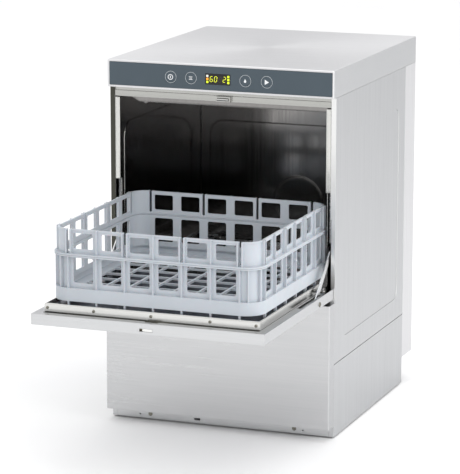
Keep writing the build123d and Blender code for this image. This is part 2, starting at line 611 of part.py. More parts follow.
with BuildPart() as door_hinges:
    for side in (-1, 1):
        knuckle = sorted((side * 207, side * 210.5))
        plate = sorted((side * 195, side * 210.5))
        rod_x(knuckle[0], knuckle[1], pivot_y, pivot_z, 9)
        block(knuckle[0], knuckle[1], pivot_y - 22, pivot_y, door_low + sheet + 0.1, pivot_z)
        block(plate[0], plate[1], pivot_y - 60, pivot_y - 2, door_low + sheet, door_low + sheet + 2)
        rod_x(knuckle[0] - 1, knuckle[1] + 1, pivot_y, pivot_z, 4.05, Mode.SUBTRACT)
        # headed pin that each stay turns on
        root = sorted((side * (stay_x - 4.5), side * (stay_x + 3)))
        head = sorted((side * (stay_x + 1.7), side * (stay_x + 3)))
        lug = sorted((side * (stay_x - 4.5), side * (stay_x - 1.8)))
        rod_x(root[0], root[1], arm_y, arm_z, 3)
        rod_x(head[0], head[1], arm_y, arm_z, 5)
        block(lug[0], lug[1], arm_y - 12, arm_y + 12, door_low + sheet, arm_z + 6)
save(door_hinges, "door_hinges")

with BuildPart() as hinge_brackets:
    for side in (-1, 1):
        ear = sorted((side * 203.2, side * 205.6))
        rod_x(ear[0], ear[1], pivot_y, pivot_z, 9)
        block(ear[0], ear[1], pivot_y, 11.6, 276, pivot_z + 5)
        pin = sorted((side * 203, side * 211.5))
        rod_x(pin[0], pin[1], pivot_y, pivot_z, 4)
save(hinge_brackets, "hinge_brackets")

# ---------------------------------------------------------------- door stays
arm_angle = math.degrees(math.atan2(slide_z - arm_z, slide_y - arm_y))
arm_length = math.hypot(slide_z - arm_z, slide_y - arm_y)
with BuildPart() as stay_arms:
    for side in (-1, 1):
        plane = Plane(origin=(side * stay_x - 1.25, front + (arm_y + slide_y) / 2,
                              (arm_z + slide_z) / 2), x_dir=(0, 1, 0), z_dir=(1, 0, 0))
        with BuildSketch(plane):
            SlotCenterToCenter(arm_length, 11, rotation=arm_angle)
        extrude(amount=2.5)
    for side in (-1, 1):
        rod_x(side * stay_x - 2, side * stay_x + 2, arm_y, arm_z, 3.05, Mode.SUBTRACT)
        rod_x(side * stay_x - 2, side * stay_x + 2, slide_y, slide_z, 3.05, Mode.SUBTRACT)
save(stay_arms, "stay_arms")

with BuildPart() as stay_sliders:
    for side in (-1, 1):
        shoe = sorted((side * (stay_x - 5.2), side * (stay_x - 1.8)))
        block(shoe[0], shoe[1], slide_y - 5, slide_y + 10, slide_z - 10, slide_z + 12)
save(stay_sliders, "stay_sliders")

with BuildPart() as stay_springs:
    for side in (-1, 1):
        pillar(side * (stay_x - 1.4), slide_y + 6, slide_z + 12.2, spring_top, 3.2)
save(stay_springs, "stay_springs")

# ---------------------------------------------------------------- rack, stored on the open door
rack_half = rack_size / 2
rack_back_y = rack_front_y + rack_size
rack_center_y = rack_front_y + rack_half
corner_r = 36.0
band_top, tier_z = 334.0, 394.0
rack_pitch = 54.4        # ribs and windows along each side
recess = 6.5             # the windowed walls stand this far inside the bottom band
wall_thick = 2.4
rib_thick = 2.4


def rack_ring(z0, z1, grow, thick):
    """One closed band of the rack, grown or shrunk from its outline."""
    inset = thick - grow
    with BuildSketch(Plane.XY.offset(z0)) as ring:
        with Locations((0, front + rack_center_y)):
            RectangleRounded(rack_size + 2 * grow, rack_size + 2 * grow, corner_r + grow)
            RectangleRounded(rack_size - 2 * inset, rack_size - 2 * inset, corner_r - inset,
                             mode=Mode.SUBTRACT)
    extrude(ring.sketch, amount=z1 - z0)


def side_windows(z0, z1, opening, offsets, radius):
    """Cuts one row of openings in all four walls of the rack."""
    middle_z = (z0 + z1) / 2
    with BuildSketch(Plane.XZ.offset(-(front + rack_back_y + 1))) as across:
        with Locations([(t, middle_z) for t in offsets]):
            RectangleRounded(opening, z1 - z0, radius)
    extrude(across.sketch, amount=rack_size + 2, mode=Mode.SUBTRACT)
    with BuildSketch(Plane.YZ.offset(-rack_half - 1)) as along:
        with Locations([(front + rack_center_y + t, middle_z) for t in offsets]):
            RectangleRounded(opening, z1 - z0, radius)
    extrude(along.sketch, amount=rack_size + 2, mode=Mode.SUBTRACT)


def side_posts(z0, z1, outer, depth, thick, offsets):
    """Adds upright ribs or feet at the given places along all four sides."""
    middle = outer - depth / 2
    center_y = front + rack_center_y
    with BuildSketch(Plane.XY.offset(z0)) as posts:
        with Locations([(t, center_y + side * middle) for t in offsets for side in (-1, 1)]):
            Rectangle(thick, depth)
        with Locations([(side * middle, center_y + t) for t in offsets for side in (-1, 1)]):
            Rectangle(depth, thick)
    extrude(posts.sketch, amount=z1 - z0)


def corner_ribs(z0, z1):
    """Adds two radial ribs in each round corner."""
    middle = rack_half - corner_r
    reach = corner_r - recess / 2 - 0.3
    with BuildSketch(Plane.XY.offset(z0)) as radial:
        for sx in (-1, 1):
            for sy in (-1, 1):
                for turn in (25, 65):
                    x = sx * (middle + reach * math.cos(math.radians(turn)))
                    y = sy * (middle + reach * math.sin(math.radians(turn)))
                    with Locations((x, front + rack_center_y + y)):
                        Rectangle(recess, rib_thick, rotation=turn * sx * sy)
    extrude(radial.sketch, amount=z1 - z0)


windows = [rack_pitch * (i - 2.5) for i in range(6)]
ribs = [rack_pitch * (i - 3) for i in range(7)]
notches = ribs[::2]
with BuildPart() as rack_base:
    rack_ring(rack_bottom_z, band_top, 0, 3)
    rack_ring(band_top - 2.4, band_top, 0, recess + 1)
    rack_ring(band_top - 0.1, tier_z, -recess, wall_thick)
    side_windows(band_top + 9, tier_z - 5, 38, windows, 4)
    side_posts(band_top - 1, tier_z, rack_half - 0.1, recess, rib_thick, ribs)
    corner_ribs(band_top - 1, tier_z)
    rack_ring(tier_z - 2.2, tier_z, 1.5, recess + 3)
    # feet under the ribs
    side_posts(rack_foot_z, rack_bottom_z + 1, rack_half - 0.2, 5, 3, ribs)
    # open floor: a border and a grid of bars
    rack_ring(rack_bottom_z + 6, rack_bottom_z + 10, -1, 24)
    floor_bars = [44 * i for i in range(-4, 5)]
    with BuildSketch(Plane.XY.offset(rack_bottom_z + 6)) as grid:
        with Locations([(bar, front + rack_center_y) for bar in floor_bars]):
            Rectangle(4, rack_size - 6)
        with Locations([(0, front + rack_center_y + bar) for bar in floor_bars]):
            Rectangle(rack_size - 6, 4)
    extrude(grid.sketch, amount=4)
    rod_x(-rack_half - 1, rack_half + 1, rack_center_y, rack_mid_z, 3.05, Mode.SUBTRACT)
save(rack_base, "rack_base")

with BuildPart() as rack_collar:
    rack_ring(tier_z + gap, tier_z + 3, 1.5, recess + 3)
    rack_ring(tier_z + 2.9, rack_top_z, -recess, wall_thick)
    rack_ring(rack_top_z - 3, rack_top_z, -recess + 1.2, wall_thick + 1.2)
    # three panels of two windows a side, with open notches between them and the corners
    side_windows(tier_z + 11, rack_top_z - 7, 38, windows, 3)
    side_windows(tier_z + 6, rack_top_z + 8, 5, notches, 2)
    paired = [t + s * 4.2 for t in notches for s in (-1, 1)]
    side_posts(tier_z + 2, rack_top_z, rack_half - 1.5, recess - 1, rib_thick, paired + ribs[1::2])
save(rack_collar, "rack_collar")

with BuildPart() as rack_clips:
    for side in (-1, 1):
        stem = sorted((side * (rack_half - recess - 2), side * (rack_half - 0.2)))
        rod_x(stem[0], stem[1], rack_center_y, rack_mid_z, 3)
save(rack_clips, "rack_clips")

with BuildPart() as case_screws:
    for x in (-screw_x, screw_x):
        rod_y(x, -2, 0, screw_z, 4.2)
        rod_y(x, 0, 8, screw_z, 2.2)
save(case_screws, "case_screws")
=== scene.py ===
"""Looks of the under-counter glasswasher: materials, small details, studio and camera.

Metres, +X to the right, +Y to the back, +Z up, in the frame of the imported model.
"""
import math
import bmesh
import bpy
from mathutils import Matrix, Vector


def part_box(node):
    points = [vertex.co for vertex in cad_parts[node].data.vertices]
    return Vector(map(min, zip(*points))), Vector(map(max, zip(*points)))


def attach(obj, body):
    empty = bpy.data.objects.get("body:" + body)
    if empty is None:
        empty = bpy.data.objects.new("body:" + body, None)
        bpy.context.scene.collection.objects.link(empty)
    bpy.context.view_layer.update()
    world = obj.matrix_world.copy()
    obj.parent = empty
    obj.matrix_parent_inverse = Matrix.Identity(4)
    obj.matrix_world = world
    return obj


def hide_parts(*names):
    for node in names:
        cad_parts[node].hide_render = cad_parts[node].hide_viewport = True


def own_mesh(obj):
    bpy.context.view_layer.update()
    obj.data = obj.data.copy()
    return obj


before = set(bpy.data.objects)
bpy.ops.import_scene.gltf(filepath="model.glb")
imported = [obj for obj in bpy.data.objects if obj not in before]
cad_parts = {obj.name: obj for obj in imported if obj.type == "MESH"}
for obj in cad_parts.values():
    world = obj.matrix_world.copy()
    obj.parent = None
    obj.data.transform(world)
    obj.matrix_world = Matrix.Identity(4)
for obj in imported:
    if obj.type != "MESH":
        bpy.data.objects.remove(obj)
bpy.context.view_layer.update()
scene = bpy.context.scene
MM = 0.001
RELIEF = 0.0002         # depth of brushing and pebble, in metres
TURNED_AWAY, SQUARE_ON = 0.6, 0.95      # parts of a normal between which facing() fades in


# ---------------------------------------------------------------- node helpers
def srgb(red, green, blue):
    """Linear colour of an sRGB triple given from 0 to 255."""
    def channel(value):
        value /= 255
        return value / 12.92 if value <= 0.04045 else ((value + 0.055) / 1.055) ** 2.4
    return (channel(red), channel(green), channel(blue), 1.0)


class Shader:
    """A principled material with short calls for the nodes this file uses."""

    def __init__(self, name):
        self.material = bpy.data.materials.new(name)
        self.material.use_nodes = True
        self.tree = self.material.node_tree
        self.surface = self.tree.nodes["Principled BSDF"]
        self.coords = self.tree.nodes.new("ShaderNodeTexCoord").outputs["Object"]

    def set(self, **values):
        for name, value in values.items():
            self.surface.inputs[name.replace("_", " ")].default_value = value

    def link(self, source, target):
        self.tree.links.new(source, target)

    def noise(self, scale, detail=3.0, rough=0.5, stretch=(1, 1, 1)):
        mapping = self.tree.nodes.new("ShaderNodeMapping")
        mapping.inputs["Scale"].default_value = stretch
        self.link(self.coords, mapping.inputs["Vector"])
        noise = self.tree.nodes.new("ShaderNodeTexNoise")
        noise.inputs["Scale"].default_value = scale
        noise.inputs["Detail"].default_value = detail
        noise.inputs["Roughness"].default_value = rough
        self.link(mapping.outputs["Vector"], noise.inputs["Vector"])
        return noise.outputs["Fac"]

    def remap(self, value, low, high, start=0.35, end=0.65):
        """Runs value from low to high as it goes from start to end."""
        ramp = self.tree.nodes.new("ShaderNodeMapRange")
        for name, number in (("From Min", start), ("From Max", end),
                             ("To Min", low), ("To Max", high)):
            ramp.inputs[name].default_value = number
        self.link(value, ramp.inputs["Value"])
        return ramp.outputs["Result"]

    def mix(self, factor, first, second):
        mix = self.tree.nodes.new("ShaderNodeMix")
        mix.data_type = "RGBA"
        for socket, value in ((mix.inputs["A"], first), (mix.inputs["B"], second)):
            if isinstance(value, tuple):
                socket.default_value = value
            else:
                self.link(value, socket)
        self.link(factor, mix.inputs["Factor"])
        return mix.outputs["Result"]

    def facing(self, axis, sign):
        """1 where the surface looks along one axis of the object, else 0."""
        normal = self.tree.nodes.new("ShaderNodeTexCoord").outputs["Normal"]
        split = self.tree.nodes.new("ShaderNodeSeparateXYZ")
        self.link(normal, split.inputs["Vector"])
        if sign < 0:
            return self.remap(split.outputs[axis], 1, 0, -SQUARE_ON, -TURNED_AWAY)
        return self.remap(split.outputs[axis], 0, 1, TURNED_AWAY, SQUARE_ON)

    def bump(self, height, strength, edge):
        """Adds fine relief, and rounds the edges over a radius of edge."""
        bump = self.tree.nodes.new("ShaderNodeBump")
        bump.inputs["Strength"].default_value = strength
        bump.inputs["Distance"].default_value = RELIEF
        self.link(height, bump.inputs["Height"])
        bevel = self.tree.nodes.new("ShaderNodeBevel")
        bevel.samples = 4
        bevel.inputs["Radius"].default_value = edge
        self.link(bevel.outputs["Normal"], bump.inputs["Normal"])
        self.link(bump.outputs["Normal"], self.surface.inputs["Normal"])


def brushed_steel(name, light, dark, grain, roughness, edge=0.0008, painted_front_light=None,
                  painted_side_shade=None, painted_well_shade=None):
    """Stainless sheet with fine brushing along the long axis of grain.

    painted_front_light is painted light and shade for the faces that look straight to the front,
    painted_side_shade is painted shade for those that look straight to the right, and
    painted_well_shade gives the painted shade colour and the height below which faces that look up
    take it.
    """
    shader = Shader(name)
    streaks = shader.noise(260, 5, 0.6, grain)      # scales are in waves per metre
    cloud = shader.noise(2.5, 3)
    tint = shader.mix(shader.remap(streaks, 0, 1, 0.25, 0.75), light, dark)
    # Painted light and shade: faces that look to the front or to the right take a set colour
    if painted_front_light:
        tint = shader.mix(shader.facing("Y", -1), tint, painted_front_light)
    if painted_side_shade:
        tint = shader.mix(shader.facing("X", 1), tint, painted_side_shade)
    # Painted shade: faces that look up below a height take the dark well colour
    if painted_well_shade:
        color, height = painted_well_shade
        split = shader.tree.nodes.new("ShaderNodeSeparateXYZ")
        shader.link(shader.coords, split.inputs["Vector"])
        painted_shade_mask = shader.tree.nodes.new("ShaderNodeMath")
        painted_shade_mask.operation = "MULTIPLY"
        shader.link(shader.remap(split.outputs["Z"], 1, 0, height - 0.001, height), painted_shade_mask.inputs[0])
        shader.link(shader.facing("Z", 1), painted_shade_mask.inputs[1])
        tint = shader.mix(painted_shade_mask.outputs[0], tint, color)
    shader.link(tint, shader.surface.inputs["Base Color"])
    blend = shader.tree.nodes.new("ShaderNodeMath")
    blend.operation = "ADD"
    shader.link(shader.remap(streaks, roughness - 0.03, roughness + 0.04, 0.3, 0.7),
                blend.inputs[0])
    shader.link(shader.remap(cloud, -0.03, 0.03), blend.inputs[1])
    shader.link(blend.outputs[0], shader.surface.inputs["Roughness"])
    shader.set(Metallic=1.0, Anisotropic=0.4, Specular_Tint=(0.74, 0.74, 0.75, 1.0))
    shader.bump(streaks, 0.012, edge)
    return shader.material


def moulded_plastic(name, color, roughness, variation=0.06, subsurface=0.0, grain=900):
    """Injection-moulded plastic with a fine pebble and slight colour drift."""
    shader = Shader(name)
    cloud = shader.noise(14, 4)
    darker = tuple(c * (1 - variation) for c in color[:3]) + (1.0,)
    shader.link(shader.mix(shader.remap(cloud, 0, 1), color, darker),
                shader.surface.inputs["Base Color"])
    shader.link(shader.remap(shader.noise(60, 3), roughness - 0.05, roughness + 0.06),
                shader.surface.inputs["Roughness"])
    shader.set(Subsurface_Weight=subsurface, Subsurface_Scale=0.004)
    shader.bump(shader.noise(grain, 2), 0.06, edge=0.0006)
    return shader.material


def glowing(name, color, strength):
    """A segment or lamp of the display, its light a little uneven; on an unlit segment the faint
    glow is painted light.
    """
    shader = Shader(name)
    shader.set(Base_Color=color, Roughness=0.4, Emission_Color=color)
    shader.link(shader.remap(shader.noise(700, 2), strength * 0.85, strength * 1.1),
                shader.surface.inputs["Emission Strength"])
    return shader.material


def painted_mark(name, color):
    """Screen-printed ink of faintly uneven tone."""
    shader = Shader(name)
    shader.link(shader.mix(shader.remap(shader.noise(1500, 2), 0, 1), color,
                           tuple(c * 0.88 for c in color[:3]) + (1.0,)),
                shader.surface.inputs["Base Color"])
    shader.set(Roughness=0.5)
    return shader.material


# ---------------------------------------------------------------- materials
# Stretch of the noise that draws the brushing, small along the strokes
LENGTHWAYS, UPRIGHT, DEPTHWAYS, ALL_WAYS = (0.02, 1, 1), (1, 1, 0.02), (1, 0.02, 1), (1, 1, 1)
STEELS = (
    # name, light and dark sRGB tone of the brushing, its direction, roughness, and what else
    # (painted light and shade among it)
    ("front_steel", (201, 201, 202), (195, 196, 197), LENGTHWAYS, 0.30, {}),
    ("door_steel", (208, 209, 210), (202, 203, 204), LENGTHWAYS, 0.30, {}),
    ("header_steel", (186, 186, 182), (178, 178, 174), LENGTHWAYS, 0.22, {}),
    ("side_steel", (203, 204, 205), (198, 199, 200), UPRIGHT, 0.34, {}),
    # Left panel: faces that look to the front are painted dark, painted shade on its front edge
    ("left_steel", (203, 204, 205), (198, 199, 200), UPRIGHT, 0.30,
     {"painted_front_light": srgb(74, 74, 68)}),
    # Right panel: faces that look to the front are painted light, a painted highlight on its front
    # edge
    ("right_steel", (203, 204, 205), (198, 199, 200), UPRIGHT, 0.34,
     {"painted_front_light": srgb(236, 236, 235)}),
    # Top cover: painted lighter than the side steel where it faces up, painted light; its
    # right-facing faces are painted back to the side tone, painted shade
    ("top_steel", (224, 224, 225), (219, 219, 220), LENGTHWAYS, 0.40,
     {"painted_side_shade": srgb(202, 203, 204)}),
    ("rear_steel", (224, 224, 225), (219, 219, 220), UPRIGHT, 0.40, {}),
    ("bright_steel", (206, 206, 203), (198, 198, 195), LENGTHWAYS, 0.20, {}),
    # Door liner: faces that look up below the rack's feet are painted dark, painted shade under the
    # rack
    ("liner_steel", (218, 218, 215), (208, 208, 205), LENGTHWAYS, 0.20,
     {"painted_well_shade": (srgb(92, 94, 102), 0.302)}),
    # Chamber inside: both steels are darker than the outer steel, painted shade inside the box; the
    # side walls are darker still, painted shade, and their front-facing faces are painted light, a
    # painted highlight
    ("chamber_steel", (150, 148, 146), (140, 138, 136), UPRIGHT, 0.15, {"edge": 0.004}),
    ("wall_steel", (118, 116, 114), (108, 106, 104), UPRIGHT, 0.15,
     {"edge": 0.004, "painted_front_light": srgb(214, 214, 210)}),
    ("arm_steel", (228, 229, 230), (214, 215, 216), DEPTHWAYS, 0.24, {}),
    ("screw_steel", (150, 148, 138), (118, 116, 108), ALL_WAYS, 0.30, {}),
    ("cast_metal", (150, 152, 156), (120, 122, 126), ALL_WAYS, 0.45, {}),
    ("brass", (206, 170, 96), (180, 142, 70), ALL_WAYS, 0.30, {}),
)
finish = {name: brushed_steel(name, srgb(*light), srgb(*dark), grain, roughness, **more)
          for name, light, dark, grain, roughness, more in STEELS}
finish.update({
    "fascia": moulded_plastic("fascia", srgb(66, 79, 88), 0.42, 0.04, grain=1400),
    "display": moulded_plastic("display", srgb(12, 10, 9), 0.10, 0.2),
    "rack": moulded_plastic("rack", srgb(185, 191, 198), 0.42, 0.05, 0.08),
    "grey_plastic": moulded_plastic("grey_plastic", srgb(150, 156, 162), 0.42),
    "black_plastic": moulded_plastic("black_plastic", srgb(26, 26, 27), 0.45, 0.15),
    "rubber": moulded_plastic("rubber", srgb(22, 22, 22), 0.7, 0.2, grain=1600),
    "board": moulded_plastic("board", srgb(30, 92, 52), 0.4, 0.2),
    "foam": moulded_plastic("foam", srgb(222, 214, 190), 0.9, 0.1, grain=500),
    "ink": painted_mark("ink", srgb(206, 212, 216)),
    "white_ink": painted_mark("white_ink", srgb(240, 242, 244)),
})
worn_by = {
    "front_steel": "lower_front_panel",
    "door_steel": "door_outer plinth_strip",
    "header_steel": "front_header",
    "right_steel": "side_panel_right",
    "side_steel": "base_side_left base_side_right back_panel base_pan",
    "left_steel": "side_panel_left",
    "top_steel": "top_cover",
    "rear_steel": "rear_cover",
    "bright_steel": "hinge_brackets door_hinges latch_roller door_screws case_screws",
    "liner_steel": "door_inner",
    "wall_steel": "chamber_side_left chamber_side_right",
    "chamber_steel": "chamber_back chamber_ceiling wash_tank",
    "arm_steel": "stay_arms rack_guides tank_filter lower_rinse_arm upper_rinse_arm lower_spindle "
                 "upper_spindle rinse_boiler tank_element stay_springs",
    "cast_metal": "wash_pump",
    "brass": "inlet_valve",
    "fascia": "fascia power_button program_button drain_button start_button",
    "display": "display_window",
    "rack": "rack_base rack_collar rack_clips",
    "grey_plastic": "lower_wash_arm upper_wash_arm filter_basket overflow_pipe water_softener",
    "black_plastic": "pump_impeller drain_pump drain_outlet dosing_pumps salt_cap cable_gland "
                     "stay_sliders",
    "rubber": "levelling_feet wash_riser",
    "board": "control_board",
    "foam": "door_insulation",
}
for look, names in worn_by.items():
    for name in names.split():
        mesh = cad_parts[name].data
        mesh.materials.clear()
        mesh.materials.append(finish[look])


# ---------------------------------------------------------------- mesh helpers
def piece(name, mesh, look, body):
    """Links a finished mesh as a piece that rides on a body."""
    item = bpy.data.objects.new(name, mesh)
    scene.collection.objects.link(item)
    mesh.materials.append(finish[look])
    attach(item, body)
    return item


def mesh_of(name, build, smooth=False):
    """Runs a bmesh builder and returns the mesh."""
    shape = bmesh.new()
    build(shape)
    bmesh.ops.recalc_face_normals(shape, faces=shape.faces)
    mesh = bpy.data.meshes.new(name)
    shape.to_mesh(mesh)
    shape.free()
    if smooth:
        mesh.shade_smooth()
    return mesh


def prism(shape, outline, y_front, depth):
    """Adds a closed outline in the XZ plane, given depth towards the back."""
    front_ring = [shape.verts.new((x, y_front, z)) for x, z in outline]
    back_ring = [shape.verts.new((x, y_front + depth, z)) for x, z in outline]
    shape.faces.new(front_ring)
    shape.faces.new(back_ring[::-1])
    count = len(outline)
    for i in range(count):
        j = (i + 1) % count
        shape.faces.new((front_ring[i], back_ring[i], back_ring[j], front_ring[j]))


def arc_points(x, z, radius, start, end, steps):
    """Points along an arc in the XZ plane, in degrees from +X towards +Z."""
    return [(x + radius * math.cos(math.radians(start + (end - start) * i / steps)),
             z + radius * math.sin(math.radians(start + (end - start) * i / steps)))
            for i in range(steps + 1)]


def ring_band(shape, x, z, radius, line, y_front, steps=48):
    """Adds a printed ring as a round of short straight bands."""
    outer = arc_points(x, z, radius + line / 2, 0, 360, steps)
    inner = arc_points(x, z, radius - line / 2, 0, 360, steps)
    for i in range(steps):
        prism(shape, [outer[i], outer[i + 1], inner[i + 1], inner[i]], y_front, ink)


# ---------------------------------------------------------------- control strip
fascia_low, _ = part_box("fascia")
ink = 0.15 * MM         # thickness of the print
ring_radius, ring_line = 10.9 * MM, 0.7 * MM
keys = ("power", "program", "drain", "start")


def key_center(key):
    """Middle of a key in X and Z, and the Y of its face."""
    low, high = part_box(f"{key}_button")
    return (low[0] + high[0]) / 2, (low[2] + high[2]) / 2, low[1]


def rings(shape):
    for key in keys:
        x, z, _ = key_center(key)
        ring_band(shape, x, z, ring_radius, ring_line, fascia_low[1] - ink)


def power_mark(shape, x, z, y):
    half, tall = 0.7 * MM, 2.6 * MM
    ring_band(shape, x, z, 4.6 * MM, 1.3 * MM, y)
    prism(shape, [(x - half, z - tall), (x + half, z - tall), (x + half, z + tall),
                  (x - half, z + tall)], y, ink)


def program_mark(shape, x, z, y):
    for row, half in ((2.4, 3.6), (0, 2.6), (-2.4, 3.6)):
        left, right = x - half * MM, x + half * MM
        low, high = z + (row - 0.5) * MM, z + (row + 0.5) * MM
        prism(shape, [(left, low), (right, low), (right, high), (left, high)], y, ink)


def drain_mark(shape, x, z, y):
    radius = 2.3 * MM
    drop = arc_points(x, z - 1.0 * MM, radius, 150, 390, 20) + [(x, z + 4.2 * MM)]
    prism(shape, drop, y, ink)


def start_mark(shape, x, z, y):
    back, tip, half = 3.4 * MM, 4.9 * MM, 4.8 * MM
    prism(shape, [(x - back, z - half), (x + tip, z), (x - back, z + half)], y, ink)


piece("key_rings", mesh_of("key_rings", rings), "ink", "cabinet")
for key, draw in zip(keys, (power_mark, program_mark, drain_mark, start_mark)):
    x, z, face_y = key_center(key)
    mark = mesh_of(f"{key}_mark", lambda shape: draw(shape, x, z, face_y - ink))
    piece(f"{key}_mark", mark, "white_ink", f"{key}_button")

# Display: four seven-segment places and two columns of lamps
finish["segment_on"] = glowing("segment_on", srgb(206, 214, 40), 0.75)
# Unlit segments: a faint glow, painted light on parts that are no lamp
finish["segment_off"] = glowing("segment_off", srgb(52, 44, 20), 0.10)
finish["lamp_white"] = glowing("lamp_white", srgb(206, 206, 196), 0.55)
finish["lamp_amber"] = glowing("lamp_amber", srgb(240, 150, 30), 0.8)
finish["lamp_green"] = glowing("lamp_green", srgb(196, 216, 30), 0.8)
window_low, window_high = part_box("display_window")
glass_y = fascia_low[1] + 0.2 * MM
lit_y, lit_depth = glass_y - 0.1 * MM, 0.12 * MM
digit_pitch, lamp_reach, lamp_pitch = 8.6 * MM, 20.8 * MM, 5.6 * MM
screen_x, screen_z = (window_low[0] + window_high[0]) / 2, (window_low[2] + window_high[2]) / 2
SEGMENTS = {"a": (0, 1), "b": (1, 0.5), "c": (1, -0.5), "d": (0, -1), "e": (-1, -0.5),
            "f": (-1, 0.5), "g": (0, 0)}
DIGITS = {"6": "acdefg", "0": "abcdef", " ": "", "2": "abged"}


def segment(shape, x, z, kind):
    """One bar of a digit with pointed ends."""
    dx, dz = SEGMENTS[kind]
    across, up, half, slant = 2.4 * MM, 5.0 * MM, 0.55 * MM, 0.10
    cx, cz = x + dx * across, z + dz * up
    if kind in "adg":
        bar = [(-across + half, 0), (-across + 2 * half, half), (across - 2 * half, half),
               (across - half, 0), (across - 2 * half, -half), (-across + 2 * half, -half)]
    else:
        tall = up / 2
        bar = [(0, -tall + half * 0.3), (half, -tall + 1.3 * half), (half, tall - 1.3 * half),
               (0, tall - half * 0.3), (-half, tall - 1.3 * half), (-half, -tall + 1.3 * half)]
    prism(shape, [(cx + a + slant * (cz + b - z), cz + b) for a, b in bar], lit_y, lit_depth)


def digits(lit):
    """Builder for the lit or the dark bars of all four places."""
    def build(shape):
        for place, digit in enumerate("60 2"):
            x = screen_x + (place - 1.5) * digit_pitch
            for kind in SEGMENTS:
                if (kind in DIGITS[digit]) == lit:
                    segment(shape, x, screen_z, kind)
    return build


for name, lit, look in (("digits_lit", True, "segment_on"), ("digits_dark", False, "segment_off")):
    piece(name, mesh_of(name, digits(lit)), look, "cabinet")


def lamp(name, look, column, row):
    """A square lamp with cut corners, left or right of the digits."""
    x, z = screen_x + column * lamp_reach, screen_z + row * lamp_pitch
    half, corner = 2.1 * MM, 0.4 * MM
    near = half - corner
    outline = [(x - half, z - near), (x - near, z - half), (x + near, z - half),
               (x + half, z - near), (x + half, z + near), (x + near, z + half),
               (x - near, z + half), (x - half, z + near)]
    mesh = mesh_of(name, lambda shape: prism(shape, outline, lit_y, lit_depth))
    piece(name, mesh, look, "cabinet")


for name, look, column, row in (
        ("lamp_fill", "lamp_white", -1, 1), ("lamp_heat", "lamp_amber", -1, 0),
        ("lamp_ready", "lamp_green", -1, -1), ("lamp_rinse", "lamp_green", 1, 1),
        ("lamp_tank", "lamp_green", 1, 0), ("lamp_door", "lamp_green", 1, -1)):
    lamp(name, look, column, row)


# ---------------------------------------------------------------- screws
HEAD_RISE = 0.42        # height of a domed head, in radii
HEAD_PROFILE = ((1.0, 0.0), (0.99, 0.35), (0.88, 0.72), (0.66, 0.93), (0.42, 1.0))
RECESS_ARM, RECESS_WAIST, RECESS_FLOOR = 0.36, 0.14, 0.45


def circle(shape, place, reaches, height):
    """A ring of vertices around the axis of place, one for each reach."""
    steps = len(reaches)
    return [shape.verts.new(place @ Vector((reach * math.cos(2 * math.pi * i / steps),
                                            reach * math.sin(2 * math.pi * i / steps), height)))
            for i, reach in enumerate(reaches)]


def screw_head(shape, center, outward, radius, slot_turn):
    """A low domed head with a cross recess, its axis along outward."""
    turn = outward.to_track_quat("Z", "X").to_matrix().to_4x4()
    place = Matrix.Translation(center) @ turn @ Matrix.Rotation(math.radians(slot_turn), 4, "Z")
    steps, height = 24, radius * HEAD_RISE
    rings_made = [circle(shape, place, [radius * across] * steps, height * up)
                  for across, up in HEAD_PROFILE]
    for lower, upper in zip(rings_made, rings_made[1:]):
        for i in range(steps):
            j = (i + 1) % steps
            shape.faces.new((lower[i], lower[j], upper[j], upper[i]))
    recess = circle(shape, place,
                    [radius * (RECESS_WAIST if i % 6 else RECESS_ARM) for i in range(steps)],
                    height * RECESS_FLOOR)
    for i in range(steps):
        j = (i + 1) % steps
        shape.faces.new((rings_made[-1][i], rings_made[-1][j], recess[j], recess[i]))
    shape.faces.new(recess)
    shape.faces.new(rings_made[0][::-1])


def solid_boxes(node):
    """Box of each separate solid in a node, from left to right."""
    shape = bmesh.new()
    shape.from_mesh(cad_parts[node].data)
    bmesh.ops.remove_doubles(shape, verts=shape.verts, dist=1e-6)
    left, found = set(shape.verts), []
    while left:
        stack, island = [left.pop()], []
        while stack:
            vert = stack.pop()
            island.append(vert.co.copy())
            for edge in vert.link_edges:
                other = edge.other_vert(vert)
                if other in left:
                    left.remove(other)
                    stack.append(other)
        low = Vector([min(co[k] for co in island) for k in range(3)])
        high = Vector([max(co[k] for co in island) for k in range(3)])
        found.append((low, high))
    shape.free()
    return sorted(found, key=lambda pair: pair[0].x)


def screws(name, node, body, radius):
    """Domed heads in place of a group of plain screws whose heads face the front."""
    def build(shape):
        for number, (low, high) in enumerate(solid_boxes(node)):
            head = Vector(((low.x + high.x) / 2, low.y + radius * HEAD_RISE, (low.z + high.z) / 2))
            screw_head(shape, head, Vector((0, -1, 0)), radius, 17 + 31 * number)
            middle = Matrix.Translation((head.x, (head.y + high.y) / 2, head.z))
            bmesh.ops.create_cone(
                shape, segments=16, radius1=radius * 0.5, radius2=radius * 0.45,
                depth=high.y - head.y, cap_ends=True,
                matrix=middle @ Matrix.Rotation(math.radians(90), 4, "X"))
    item = piece(name, mesh_of(name, build, smooth=True), "screw_steel", body)
    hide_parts(node)


screws("plinth_screw_heads", "case_screws", "cabinet", 4.2 * MM)
screws("liner_screw_heads", "door_screws", "door", 2.7 * MM)


def pin_heads(shape):
    """Heads of the stay pins on the outer sides of the door."""
    low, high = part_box("door_outer")
    arm_low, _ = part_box("stay_arms")
    arm_half = 5.5 * MM
    pin_y, pin_z = arm_low[1] + arm_half, arm_low[2] + arm_half
    for x, outward in ((low[0], -1), (high[0], 1)):
        center = Vector((x - outward * 0.1 * MM, pin_y, pin_z))
        screw_head(shape, center, Vector((outward, 0, 0)), 4.6 * MM, 20)


piece("stay_pin_heads", mesh_of("stay_pin_heads", pin_heads, smooth=True), "screw_steel", "door")


